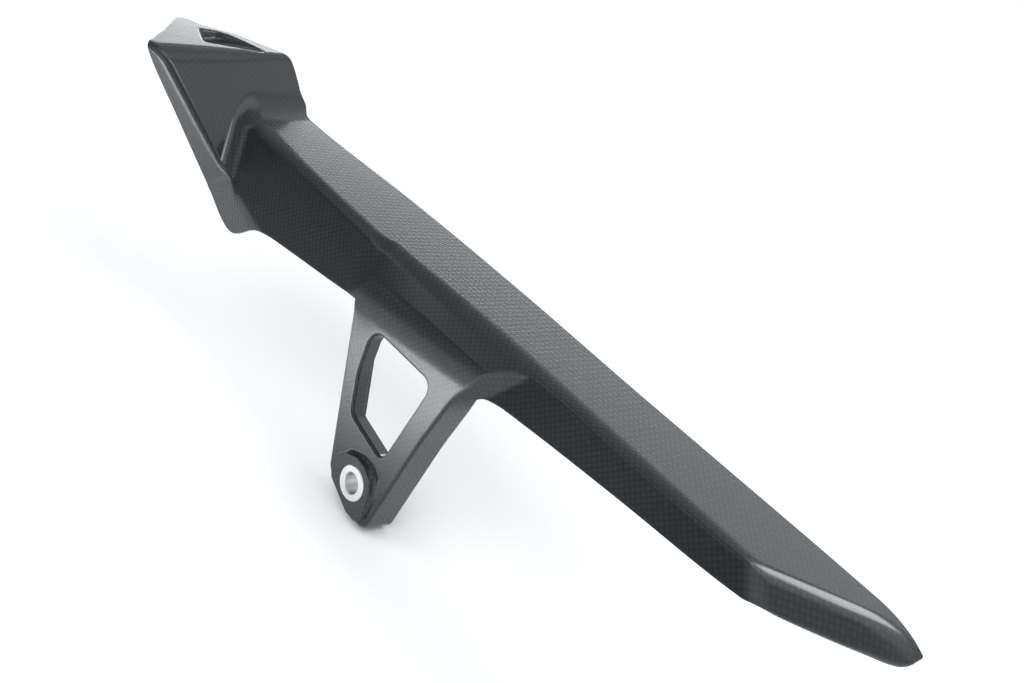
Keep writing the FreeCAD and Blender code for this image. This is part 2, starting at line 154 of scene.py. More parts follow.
def turned_aluminium():
    """Turned and clear anodised sleeve: pale grey metal with fine rings round its axis."""
    material, tree, output = blank_material("turned_aluminium")
    place = node(tree, "ShaderNodeTexCoord")
    split = node(tree, "ShaderNodeSeparateXYZ", links={0: place.outputs["Object"]})
    flat = node(tree, "ShaderNodeCombineXYZ", {}, {0: split.outputs[0], 2: split.outputs[2]})
    radius = node(tree, "ShaderNodeVectorMath", {"operation": "LENGTH"}, {0: flat.outputs[0]})
    turns = arithmetic(tree, "MULTIPLY", radius.outputs["Value"], 2 * math.pi / (MARK_PITCH * MM))
    marks = arithmetic(tree, "SINE", turns)
    bump = node(tree, "ShaderNodeBump", {"Strength": 0.12, "Distance": MARK_DEPTH * MM}, {"Height": marks})
    surface = node(
        tree, "ShaderNodeBsdfPrincipled",
        {"Base Color": srgb("#e3e4e5"), "Metallic": 1.0, "Roughness": 0.34},
        {"Normal": bump.outputs[0]},
    )
    tree.links.new(surface.outputs[0], output.inputs[0])
    return material


def pale_floor():
    """Matt white studio paper."""
    material, tree, output = blank_material("studio_paper")
    surface = node(tree, "ShaderNodeBsdfPrincipled", {"Base Color": srgb("#fbfbfb"), "Roughness": 0.9})
    tree.links.new(surface.outputs[0], output.inputs[0])
    return material


def rotation(axis, angle):
    """Matrix of a turn about one axis of the part's frame."""
    return np.array(Matrix.Rotation(angle, 3, axis))


# Directions along, up and out of the bracket's flat face, and the face's distance from the bush's outer end
BRACKET = rotation("Z", math.radians(2.5)) @ rotation("X", math.radians(83.0))
FACE_INSET = 2.3

# Outer face of the guard as one distance, in mm of the part's frame
TOP, DECK, SKIN = 80.5, 101.5, 2.0
RAMP_SLOPE = math.radians(54.0)


def track(x, table):
    """Smooth curve through a short table of places along the guard: cubic spans with shared slopes."""
    knots = np.array([p[0] for p in table], float)
    values = np.array([p[1] for p in table], float)
    steps = np.diff(knots)
    rises = np.diff(values) / steps
    slopes = np.empty_like(values)
    slopes[0], slopes[-1] = rises[0], rises[-1]
    same = rises[1:] * rises[:-1] > 0
    total = np.where(same, rises[1:] + rises[:-1], 1)
    slopes[1:-1] = np.where(same, 2 * rises[1:] * rises[:-1] / total, 0)
    x = np.clip(x, knots[0], knots[-1])
    i = np.clip(np.searchsorted(knots, x) - 1, 0, len(steps) - 1)
    u = (x - knots[i]) / steps[i]
    start = values[i] * (1 + 2 * u) * (1 - u) ** 2 + steps[i] * slopes[i] * u * (1 - u) ** 2
    end = values[i + 1] * u * u * (3 - 2 * u) + steps[i] * slopes[i + 1] * u * u * (u - 1)
    return start + end


def eased(x, start, end):
    """0 before start, 1 after end, level at both."""
    u = np.clip((x - start) / (end - start), 0, 1)
    return u * u * (3 - 2 * u)


def cut_by(a, b, r):
    """Solid inside both faces, their edge rounded: a and b are distances outside each face."""
    r = np.maximum(r, 1e-4)
    return np.minimum(np.maximum(a, b), -r) + np.hypot(np.maximum(a + r, 0), np.maximum(b + r, 0))


def joined_with(a, b, r):
    """Solid inside either face, their hollow rounded."""
    return -cut_by(-a, -b, r)


def plane(x, y, z, normal, level):
    """Distance beyond a plane with this unit normal."""
    return normal[0] * x + normal[1] * y + normal[2] * z - level


# Height of the shoulder's ridge, its slope, place of the creases and their rounds, by place along the guard
RIDGE = [(-60, 69.0), (-44.2, 69.4), (-5.3, 71.3), (23.7, 72.3), (40, 73.2)]
SHOULDER = [(-60, 1.40), (-44, 1.30), (-5, 0.92), (24, 0.78), (40, 0.72)]
REAR_CREASE = [(30, 23.5), (42, 24.0), (61, 24.8), (98, 25.1), (130, 26.6), (145, 27.6), (160, 29.4)]
CREASE = [(-172, 10.0), (-161, 9.4), (-137, 7.6), (-110, 5.6), (-90, 4.5), (-70, 3.8), (-45, 3.3)]
REAR_LEAN = [(30, 0.42), (60, 0.36), (98, 0.33), (130, 0.37), (150, 0.42)]
CREASE_OVER_BRACKET = 0.3

# Flat faces: direction out of each and its distance from the bush
FACE_OUT = (0.0433, -0.9916, 0.1219)
NOSE = (0.491, -0.569, 0.660), 109.2
NOSE_TIP = (0.500, -0.460, 0.733), 122.7
RAMP = (0.791, 0.168, 0.588), -81.9
SKIRT = (0.4046, -0.8345, -0.3742), -84.7
SKIRT_FOOT = (-0.047, -0.992, 0.114), 7.9

# Side wall's lean, turn and place, start of the shoulder at the height of its upper end, return flange
WALL_LEAN, WALL_TURN, WALL_AT = 0.3998, 0.0108, -15.41
START_X, START_Z, START_LEAN = -49.6, 79.7, 0.12
SHOULDER_RISE, FACE_RISE = 2.6, 1.2
FLANGE_AT, FLANGE_LEAN = (25.9, 11.5, 66.3), 0.13
NOSE_FALL, NOSE_FALL_FROM, NOSE_FALL_OVER = 4.9, 172.0, 22.4

# Recess in the deck: its corners, where its floor runs out, and the fall and draft of floor and walls
RECESS = [(-207.2, 8.9), (-190.0, 2.9), (-188.2, 36.5), (-200.0, 29.3), (-207.0, 21.3)]
RECESS_END, RECESS_FALL, RECESS_DRAFT = 35.5, 5.5 / 27.0, math.tan(math.radians(22.0))
RECESS_BEFORE = -185.0


def wall_y(x, z):
    """Front side wall: it leans out as it goes down and turns a little along the guard."""
    return WALL_LEAN * z + WALL_AT + WALL_TURN * x


def recess(x, y, z):
    """Distance outside the wedge pressed into the deck: drafted walls round a floor that runs out upward."""
    air = (DECK - (RECESS_END - y) * RECESS_FALL - z) / math.hypot(1, RECESS_FALL)
    sides = None
    for (ax, ay), (bx, by) in zip(RECESS, RECESS[1:] + RECESS[:1]):
        length = math.hypot(bx - ax, by - ay)
        side = ((x - ax) * (by - ay) - (y - ay) * (bx - ax)) / length
        side = (side + (DECK - z) * RECESS_DRAFT) / math.hypot(1, RECESS_DRAFT)
        sides = side if sides is None else cut_by(sides, side, 2.2)
    return cut_by(sides, air, 1.0)


def outside(x, y, z):
    """Distance outside the outer face: planes of top, walls, shoulder, ramp and deck, rounded together."""
    top = z - TOP + NOSE_FALL * np.clip((x - NOSE_FALL_FROM) / NOSE_FALL_OVER, 0, 1.2) ** 2.2
    wall = (wall_y(x, z) - y) / math.hypot(1, WALL_LEAN, WALL_TURN)
    start = START_X + (START_Z - z) * START_LEAN
    before = 1 - eased(x, start - 7.0, start + 2.0)
    sharp = eased(x, start, start + 6.0)
    ridge_z = track(x, RIDGE)
    slope = track(x, SHOULDER)
    shoulder = (z - ridge_z - slope * (y - wall_y(x, ridge_z))) / np.hypot(1, slope) - SHOULDER_RISE * before
    face = plane(x, y, z, FACE_OUT, -FACE_INSET) - FACE_RISE * before
    body = cut_by(top, shoulder, 4.0)
    body = cut_by(body, wall, track(x, CREASE) * (1 - sharp) + CREASE_OVER_BRACKET * sharp)
    body = cut_by(body, face, 1.5)
    lean = track(x, REAR_LEAN)
    rear = (track(x, REAR_CREASE) - (TOP - z) * lean - y) / np.hypot(1, lean)
    flange = x - FLANGE_AT[0] - (y - FLANGE_AT[1]) - FLANGE_LEAN * (z - FLANGE_AT[2])
    body = cut_by(body, joined_with(rear, flange / math.hypot(1, 1, FLANGE_LEAN), 2.5), 0.9)
    body = cut_by(body, plane(x, y, z, *NOSE), 3.0)
    body = cut_by(body, plane(x, y, z, *NOSE_TIP), 0.6)
    head = cut_by(plane(x, y, z, *RAMP), z - DECK, 2.2 + 3.0 * eased(y, 52.0, -10.0))
    outer = joined_with(body, head, 8.5)
    skirt = joined_with(plane(x, y, z, *SKIRT), plane(x, y, z, *SKIRT_FOOT), 1.6)
    outer = cut_by(outer, skirt, 0.8 + 2.9 * eased(x, -142.0, -158.0))
    return cut_by(outer, -recess(x, y, z), 0.6) if np.min(x) < RECESS_BEFORE else outer


def outward(points):
    """Direction in which the distance outside grows fastest."""
    x, y, z = points[..., 0], points[..., 1], points[..., 2]
    e = 0.02
    slope = np.stack([
        outside(x + e, y, z) - outside(x - e, y, z),
        outside(x, y + e, z) - outside(x, y - e, z),
        outside(x, y, z + e) - outside(x, y, z - e),
    ], -1)
    return slope / np.maximum(np.linalg.norm(slope, axis=-1, keepdims=True), 1e-12)


def solved(low, high, spot, depth=0.0):
    """Halves the step until the face, or its parallel at a depth, is met between two distances on each ray."""
    for _ in range(22):
        middle = (low + high) / 2
        beyond = outside(*spot(middle)) + depth > 0
        high = np.where(beyond, middle, high)
        low = np.where(beyond, low, middle)
    return (low + high) / 2


class Skin:
    """Gathers rows of points with their normals and cloth places, and the faces between them."""

    def __init__(self):
        self.points, self.normals, self.cloth, self.faces, self.count = [], [], [], [], 0

    def add(self, points, normals, cloth):
        """Stores points and gives their numbers, laid out as the points are."""
        first = self.count
        for store, values in ((self.points, points), (self.normals, normals), (self.cloth, cloth)):
            store.append(np.asarray(values, float).reshape(-1, np.shape(values)[-1]))
        self.count += len(self.points[-1])
        return (first + np.arange(self.count - first)).reshape(np.shape(points)[:-1])

    def quads(self, a, b, c, d):
        """Stores one face for each place in four equal fields of numbers."""
        self.faces.append(np.stack([a, b, c, d], -1).reshape(-1, 4))

    def band(self, a, b, closed=False):
        """Faces between two rows of equal count."""
        ahead = np.roll(np.arange(len(a)), -1)
        last = len(a) if closed else len(a) - 1
        self.quads(a[:last], a[ahead][:last], b[ahead][:last], b[:last])

    def build(self, name, material):
        """Turns every face to its points' normals and makes the mesh with the cloth laid out in mm."""
        points, normals = np.concatenate(self.points), np.concatenate(self.normals)
        cloth = np.concatenate(self.cloth)
        normals /= np.maximum(np.linalg.norm(normals, axis=1, keepdims=True), 1e-12)
        every = []
        for faces in self.faces:
            p = points[faces]
            if faces.shape[1] == 4:
                turned = np.cross(p[:, 2] - p[:, 0], p[:, 3] - p[:, 1])
            else:
                turned = np.cross(p[:, 1] - p[:, 0], p[:, 2] - p[:, 0])
            wrong = (turned * normals[faces].sum(1)).sum(1) < 0
            every += np.where(wrong[:, None], faces[:, ::-1], faces).tolist()
        mesh = bpy.data.meshes.new(name)
        mesh.from_pydata((points * MM).tolist(), [], every)
        mesh.materials.append(material)
        corners = np.empty(len(mesh.loops), dtype=np.int64)
        mesh.loops.foreach_get("vertex_index", corners)
        layer = mesh.uv_layers.new(name="weave")
        layer.data.foreach_set("uv", cloth[corners].ravel())
        mesh.polygons.foreach_set("use_smooth", np.ones(len(every), dtype=bool))
        mesh.normals_split_custom_set_from_vertices(normals.tolist())
        made = bpy.data.objects.new(name, mesh)
        bpy.context.collection.objects.link(made)
        return made


# Free edges of the blade: place along the guard, then the edge's place across it and its height
INNER_EDGE = [
    (-218.0, 6.2), (-217.3, 8.2), (-212.6, 13.4), (-211.0, 17.5), (-207.4, 28.6), (-204.0, 33.0),
    (-191.4, 46.9), (-188.6, 49.6), (-186.2, 51.7), (-181.0, 54.4), (-175.7, 56.2), (-172.0, 55.0),
    (-168.0, 53.5), (-150.0, 54.0), (-137.6, 54.9), (-121.0, 56.6), (-94.0, 59.5), (-60.0, 61.8),
    (-27.0, 63.1), (4.0, 63.8), (48.0, 63.9), (87.0, 64.7), (122.0, 65.5), (150.0, 66.1), (180.0, 66.3),
    (194.2, 66.4),
]
LOWER_EDGE = [
    (-218.0, 5.6, 101.5), (-217.4, 3.9, 101.5), (-215.6, 1.9, 101.5), (-197.1, -13.2, 101.5),
    (-191.5, -18.4, 101.4), (-184.5, -24.2, 101.3), (-180.8, -27.2, 100.5), (-178.9, -28.0, 98.2),
    (-177.6, -27.2, 95.0), (-176.2, -25.0, 91.2), (-170.0, -15.4, 77.0), (-159.9, -0.1, 53.6),
    (-157.4, 3.2, 48.2), (-156.0, 4.0, 46.2), (-153.5, 4.2, 45.3), (-129.6, 2.6, 39.3), (-126.6, 2.7, 39.8),
    (-114.5, 3.2, 48.4), (-111.5, 3.2, 49.9), (-103.8, 4.1, 51.6), (-86.7, 5.1, 53.7), (-61.5, 6.5, 56.5),
    (-49.5, 7.2, 57.9), (-43.8, 7.4, 58.3),
]
REAR_EDGE = [
    (28.7, 12.9, 61.2), (29.8, 14.0, 62.0), (31.4, 15.1, 62.6), (33.6, 16.0, 63.0), (38.0, 16.9, 63.6),
    (50.2, 18.2, 64.4), (62.0, 19.2, 65.2), (97.0, 21.1, 67.5), (130.2, 22.4, 69.7), (149.5, 24.1, 70.9),
    (153.5, 25.8, 71.2), (160.0, 30.1, 71.6), (172.4, 40.3, 72.4), (184.3, 51.3, 73.2), (190.1, 57.0, 73.6),
    (192.8, 60.3, 73.8), (193.9, 63.0, 73.9), (194.2, 65.2, 74.2),
]
# Point that each section's rays start from
PIVOT_Y = [(-218, 12), (-189, 12), (-178, 45), (195, 45)]
PIVOT_Z = [(-218, 70), (-189, 70), (-178, 45), (195, 45)]
BRACKET_FROM, BRACKET_TO = -43.8, 28.7
SEAM_DROP = 2.5
COLUMNS, DENSE = 96, 520

# Screw hole in the recess's floor: points nearer its edge than the catch are drawn out to it
HOLE_AT, HOLE_RADIUS, HOLE_CATCH, HEAD_ABOVE = (-198.2, 12.6), 3.3, 0.85, 90.0
HOLE_CENTRE = np.array([*HOLE_AT, DECK - (RECESS_END - HOLE_AT[1]) * RECESS_FALL])
HOLE_AXIS = np.array([0.0, -math.sin(math.atan(RECESS_FALL)), math.cos(math.atan(RECESS_FALL))])


def station_places():
    """Places along the guard, close together where its form turns."""
    runs = [
        (-218.0, -174.0, 0.42), (-174.0, -140.0, 0.8), (-140.0, -54.0, 2.2), (-54.0, -43.8, 0.4),
        (-43.8, 22.0, 2.2), (22.0, 41.0, 0.4), (41.0, 142.0, 3.0), (142.0, 156.0, 0.7), (156.0, 188.0, 1.2),
        (188.0, 194.2, 0.35),
    ]
    places = [np.linspace(a, b, max(2, int(round((b - a) / step)) + 1))[:-1] for a, b, step in runs]
    places = np.concatenate(places + [np.array([194.2])])
    jumps = np.array([BRACKET_FROM - 0.01, BRACKET_FROM + 0.01, BRACKET_TO - 0.01, BRACKET_TO + 0.01])
    places = places[np.min(np.abs(places[:, None] - jumps), axis=1) > 0.05]
    return np.sort(np.concatenate([places, jumps]))


def lower_edge(x):
    """Lower edge of the blade; over the bracket it is the seam just under the shoulder ridge."""
    front = [track(x, [(p[0], p[k]) for p in LOWER_EDGE]) for k in (1, 2)]
    rear = [track(x, [(p[0], p[k]) for p in REAR_EDGE]) for k in (1, 2)]
    seam_z = track(x, RIDGE) - SEAM_DROP
    seam = [wall_y(x, seam_z), seam_z]
    middle = (x > BRACKET_FROM) & (x < BRACKET_TO)
    return [np.where(middle, s, np.where(x < 0, f, r)) for s, f, r in zip(seam, front, rear)]


def blade_rows(places):
    """Outer and inner points of each section, on rays from a pivot inside it, closer where the face bends."""
    pivot_y, pivot_z = track(places, PIVOT_Y)[:, None], track(places, PIVOT_Z)[:, None]

    def on_rays(angle):
        across = np.broadcast_to(places[:, None], angle.shape)
        c, s = np.cos(angle), np.sin(angle)
        return lambda distance: (across, pivot_y + distance * c, pivot_z + distance * s)

    def reach(angle, depth=0.0):
        spot = on_rays(angle)
        distance = solved(np.zeros_like(angle), np.full_like(angle, 140.0), spot, depth)
        return np.stack(spot(distance), -1)

    def angle_of(points, turned=False):
        angle = np.arctan2(points[:, 2] - pivot_z[:, 0], points[:, 1] - pivot_y[:, 0])
        return np.where((angle < 0) & turned, angle + 2 * np.pi, angle)

    inner_y = track(places, INNER_EDGE)
    inner_z = solved(np.full_like(places, 60.0), np.full_like(places, 110.0), lambda h: (places, inner_y, h))
    low_y, low_z = lower_edge(places)
    first = angle_of(np.stack([places, inner_y, inner_z], 1))
    last = angle_of(np.stack([places, low_y, low_z], 1), True)
    angle = first[:, None] + (last - first)[:, None] * np.linspace(0, 1, DENSE)
    dense = reach(angle)
    normals = outward(dense)
    run = np.linalg.norm(np.diff(dense, axis=1), axis=-1)
    bend = np.linalg.norm(np.diff(normals, axis=1), axis=-1)
    weight = run / run.sum(1, keepdims=True)
    weight = weight + 0.9 * np.minimum(bend, 0.3) / np.maximum(bend.sum(1, keepdims=True), 0.3)
    travel = np.concatenate([np.zeros((len(places), 1)), np.cumsum(weight, 1)], 1)
    travel /= travel[:, -1:]
    wanted = np.linspace(0, 1, COLUMNS)
    picked = np.array([np.interp(wanted, t, a) for t, a in zip(travel, angle)])
    outer = reach(picked)
    normals = outward(outer)
    under = [outer[:, k] - normals[:, k] * SKIN for k in (0, -1)]
    ends = angle_of(under[0]), angle_of(under[1], True)
    share = (picked - picked[:, :1]) / (picked[:, -1:] - picked[:, :1])
    inner = reach(ends[0][:, None] * (1 - share) + ends[1][:, None] * share, SKIN)
    return outer, normals, inner


def cloth_of(rows):
    """Cloth laid flat: along the guard, with the ramp unrolled, and across it by length round the section."""
    run = np.linalg.norm(np.diff(rows, axis=1), axis=-1)
    round_it = np.concatenate([np.zeros((len(rows), 1)), np.cumsum(run, 1)], 1)
    unroll = (1 - math.cos(RAMP_SLOPE)) / math.sin(RAMP_SLOPE)
    along = rows[..., 0] - unroll * np.maximum(rows[..., 2] - TOP, 0)
    return np.stack([along, rows[:, :1, 1] - round_it], -1)


RIM_STEPS, RIM_BULGE = 5, 0.4


def rounded_rim(start, end, normal, away):
    """Points round a free edge: a flat half turn from the outer skin to the inner one."""
    s = (np.arange(RIM_STEPS) + 0.5) / RIM_STEPS
    bulge = RIM_BULGE * np.sin(np.pi * s) ** 0.6
    points = start[:, None] * (1 - s[:, None]) + end[:, None] * s[:, None] + away[:, None] * bulge[:, None]
    turned = normal[:, None] * np.cos(np.pi * s)[:, None] + away[:, None] * np.sin(np.pi * s)[:, None]
    return points, turned


def unit(v):
    """Directions of length 1."""
    return v / np.maximum(np.linalg.norm(v, axis=-1, keepdims=True), 1e-12)


def from_hole(points):
    """Way to each point from the screw hole's axis, square to it."""
    away = points - HOLE_CENTRE
    return away - (away @ HOLE_AXIS)[..., None] * HOLE_AXIS


def blade_skin():
    """Blade: closed sections of outer skin, lower rim, inner skin and upper rim, joined along the guard."""
    places = station_places()
    outer, normals, inner = blade_rows(places)
    inner_normals = -outward(inner)
    low, low_n = rounded_rim(outer[:, -1], inner[:, -1], normals[:, -1], unit(outer[:, -1] - outer[:, -3]))
    high, high_n = rounded_rim(outer[:, 0], inner[:, 0], normals[:, 0], unit(outer[:, 0] - outer[:, 2]))
    outer_cloth, inner_cloth = cloth_of(outer), cloth_of(inner)
    for rows in (outer, inner):
        away = from_hole(rows)
        far = np.linalg.norm(away, axis=-1)
        rim = (far < HOLE_RADIUS) & (far > HOLE_RADIUS - HOLE_CATCH) & (rows[..., 2] > HEAD_ABOVE)
        rows[rim] += (away * (HOLE_RADIUS / far - 1)[..., None])[rim]
    loops = np.concatenate([outer, low, inner[:, ::-1], high[:, ::-1]], 1)
    loop_normals = np.concatenate([normals, low_n, inner_normals[:, ::-1], high_n[:, ::-1]], 1)
    low_cloth = np.repeat(outer_cloth[:, -1:], RIM_STEPS, 1)
    low_cloth[..., 1] -= np.linspace(0.2, SKIN, RIM_STEPS)
    high_cloth = np.repeat(outer_cloth[:, :1], RIM_STEPS, 1)
    high_cloth[..., 1] += np.linspace(SKIN, 0.2, RIM_STEPS)
    cloth = np.concatenate([outer_cloth, low_cloth, inner_cloth[:, ::-1], high_cloth], 1)
    skin = Skin()
    index = skin.add(loops, loop_normals, cloth)
    around = np.roll(index, -1, 1)
    a, b, c, d = index[:-1], around[:-1], around[1:], index[1:]
    in_hole = np.linalg.norm(from_hole(loops), axis=-1) < HOLE_RADIUS + 1e-6
    inside = (in_hole & (loops[..., 2] > HEAD_ABOVE)).ravel()
    keep = ~(inside[a] & inside[b] & inside[c] & inside[d])
    skin.quads(a[keep], b[keep], c[keep], d[keep])
    for row in (index[0], index[-1]):
        back = row[COLUMNS + RIM_STEPS:2 * COLUMNS + RIM_STEPS][::-1]
        skin.quads(row[:COLUMNS - 1], row[1:COLUMNS], back[1:], back[:-1])
    turns = np.linspace(0, 2 * np.pi, 65)
    side = np.array([1.0, 0, 0])
    ring = np.cos(turns)[:, None] * side + np.sin(turns)[:, None] * np.cross(HOLE_AXIS, side)
    ends = [
        skin.add(HOLE_CENTRE + ring * HOLE_RADIUS + HOLE_AXIS * level, -ring, ring[:, :2] * HOLE_RADIUS)
        for level in (0.0, -SKIN)]
    skin.band(*ends)
    return skin, places, outer, normals, inner


# Bracket: a plate with its edge turned in, a lipped window and a levelled pad round the bush
RIM = [(-16.3, -3.2), (-12.0, -7.0), (3.0, -12.9), (14.2, -12.9), (18.4, 32.0), (22.3, 56.5), (25.9, 64.8)]
RIM_ROUNDS = [4.0, 8.0, 8.0, 4.0, 90.0, 20.0, 20.0]
WINDOW = [(-27.3, 54.8), (-24.6, 37.0), (-18.0, 21.1), (6.0, 15.9), (10.3, 54.4)]
WINDOW_ROUNDS = [5.0, 30.0, 6.0, 3.2, 5.0]
PAD_FOOT = [
    (-17.4, 0.0), (-9.6, 10.4), (-1.0, 12.8), (5.2, 12.4), (10.8, 9.5), (13.1, 2.0), (13.8, -9.5),
    (10.6, -12.6), (3.0, -12.6), (-11.9, -6.4),
]
PAD_FACE = [
    (-15.7, 1.1), (-9.2, 7.9), (-2.6, 10.8), (3.4, 10.5), (7.8, 8.2), (10.6, 2.0), (12.0, -8.6),
    (9.4, -11.7), (3.0, -11.9), (-11.5, -5.7),
]
FLANGE_DEPTH, WINDOW_LIP, EDGE, WINDOW_EDGE = 14.5, 7.0, 1.7, 1.4
BUSH_SEAT, BARREL, BARREL_END, PAD_LEVEL, PAD_SINK, PAD_ROLL = 7.44, 9.7, 14.5, 0.3, 1.3, 0.97
BARREL_SHIFT = (0.19, 0.53)
PLATE_MIDDLE, BEND_BELOW, LINE_STEP, CLEAR = np.array([-6.0, 30.0]), 44.0, 1.6, 0.6
FLANGE_TOP, FLANGE_OUT = 27.7, unit(np.array([1.0, -1.0, -FLANGE_LEAN]))

# Free edge of the window's lip: way out from its wall, height above the lip's end, turn of the face
LIP_END = [
    (0, 0.4, 0.0), (0.2, 0.1, 0.8), (0.6, 0.0, 1.4), (1.4, 0.0, 1.8), (1.8, 0.1, 2.4), (SKIN, 0.4, np.pi),
]


def rounded_line(corners, rounds, spacing, closed=True):
    """Points along a line whose corners are rounded by arcs."""
    corners = np.array(corners, float)
    count = len(corners)
    points = []
    for i, radius in enumerate(rounds):
        here = corners[i]
        if radius == 0:
            points.append(here)
            continue
        a, b = unit(corners[i - 1] - here), unit(corners[(i + 1) % count] - here)
        half = math.acos(np.clip(a @ b, -1, 1)) / 2
        centre = here + unit(a + b) * radius / math.sin(half)
        first = here + a * radius / math.tan(half) - centre
        last = here + b * radius / math.tan(half) - centre
        turn = math.atan2(first[0] * last[1] - first[1] * last[0], first @ last)
        for k in np.linspace(0, turn, max(3, int(abs(turn) / 0.14) + 1)):
            c, s = math.cos(k), math.sin(k)
            points.append(centre + np.array([c * first[0] - s * first[1], s * first[0] + c * first[1]]))
    points = np.array(points + points[:1] if closed else points)
    filled = [points[:1]]
    for a, b in zip(points, points[1:]):
        pieces = max(1, int(np.linalg.norm(b - a) / spacing))
        filled.append(a + (b - a) * (np.arange(pieces)[:, None] + 1) / pieces)
    filled = np.concatenate(filled)
    keep = np.concatenate([[True], np.linalg.norm(np.diff(filled, axis=0), axis=1) > 1e-3])
    filled = filled[keep]
    return filled[:-1] if closed else filled


def side_normals(line, closed, middle):
    """Unit normals of a line in its plane, pointing away from a point inside it."""
    if closed:
        along = np.roll(line, -1, 0) - np.roll(line, 1, 0)
    else:
        along = np.gradient(line, axis=0)
    normal = unit(np.stack([along[:, 1], -along[:, 0]], 1))
    k = len(line) // 2
    return normal if (line[k] - middle) @ normal[k] > 0 else -normal


def in_polygon(points, polygon):
    """Which points lie inside a closed outline, by counting crossings."""
    x, y = points[:, 0:1], points[:, 1:2]
    a, b = polygon, np.roll(polygon, -1, 0)
    crosses = (a[:, 1] > y) != (b[:, 1] > y)
    rise = np.where(np.abs(b[:, 1] - a[:, 1]) < 1e-9, 1e-9, b[:, 1] - a[:, 1])
    return (crosses & (x < a[:, 0] + (y - a[:, 1]) * (b[:, 0] - a[:, 0]) / rise)).sum(1) % 2 == 1


def plate_faces(loops, extra):
    """Triangles of a region bounded by the first loop, with the other loops as holes."""
    points = np.vstack(list(loops) + [extra])
    edges, start = [], 0
    for loop in loops:
        n = len(loop)
        edges += [(start + i, start + (i + 1) % n) for i in range(n)]
        start += n
    made = delaunay_2d_cdt([Vector(p) for p in points], edges, [], 0, 1e-6)
    source = [origin[0] if origin else -1 for origin in made[3]]
    triangles = np.array([[source[i] for i in face] for face in made[2]])
    triangles = triangles[(triangles >= 0).all(1)]
    middles = points[triangles].mean(1)
    inside = in_polygon(middles, loops[0])
    for hole in loops[1:]:
        inside &= ~in_polygon(middles, hole)
    return triangles[inside]


def from_face(u, v, w):
    """Place in the part's frame of a point given along, up and out of the bracket's flat face."""
    u, v, w = np.broadcast_arrays(u, v, w)
    return np.stack([u, v, w - FACE_INSET], -1) @ BRACKET.T


def on_face(points):
    """Along, up and out of the bracket's flat face."""
    return points @ BRACKET + np.array([0, 0, FACE_INSET])


def face_height(u, v, depth=0.0):
    """How far the skin stands out from the flat of the bracket: it bends back under the shoulder."""
    def spot(w):
        p = from_face(u, v, w)
        return p[..., 0], p[..., 1], p[..., 2]

    bent = solved(np.full(len(u), -14.0), np.full(len(u), 3.0), spot, depth)
    return np.where(v > BEND_BELOW, bent, -depth)


def shared_places(places, outer):
    """Row and column of each blade point that the bracket shares: seam leftward, then joint downward."""
    left = np.searchsorted(places, BRACKET_FROM)
    seam = [(row, COLUMNS - 1) for row in range(np.searchsorted(places, FLANGE_TOP), left - 1, -1)]
    below = outer[left - 1, :, 2] < outer[left, -1, 2] - 0.15
    down = np.flatnonzero(below & (np.arange(COLUMNS) > COLUMNS // 3))
    return np.array(seam + [(left - 1, column) for column in down]).T


def plate(skin, line, shared, openings, grid, depth=0.0, shared_normals=None):
    """One side of the bracket's plate, between its outline, the points shared with the blade and its openings.

    Gives the numbers of the points on the outline and on the first opening, the grid points that are used,
    and the outline's points, normals and heights.
    """
    outline = np.vstack([line, on_face(shared)[1:-1, :2]])
    grid = grid[in_polygon(grid, outline)]
    fixed = np.vstack([outline, openings[0]])
    grid = grid[np.min(np.linalg.norm(grid[:, None] - fixed[None], axis=2), axis=1) > CLEAR]
    flat = np.vstack([outline, *openings, grid])
    height = face_height(flat[:, 0], flat[:, 1], depth)
    spots = from_face(flat[:, 0], flat[:, 1], height)
    n = len(line)
    if shared_normals is None:
        tilt = np.tile(-BRACKET[:, 2], (len(flat), 1))
    else:
        tilt = np.where((flat[:, 1] > BEND_BELOW)[:, None], outward(spots), BRACKET[:, 2])
        tilt[n:len(outline)] = shared_normals[1:-1]
    spots[n:len(outline)] = shared[1:-1]
    spots[0], spots[n - 1] = shared[-1], shared[0]
    index = skin.add(spots, tilt, flat)
    skin.faces.append(index[plate_faces([outline, *openings], grid)])
    first = len(outline)
    return index[:n], index[first:first + len(openings[0])], grid, spots[:n], tilt[:n], height[:n]


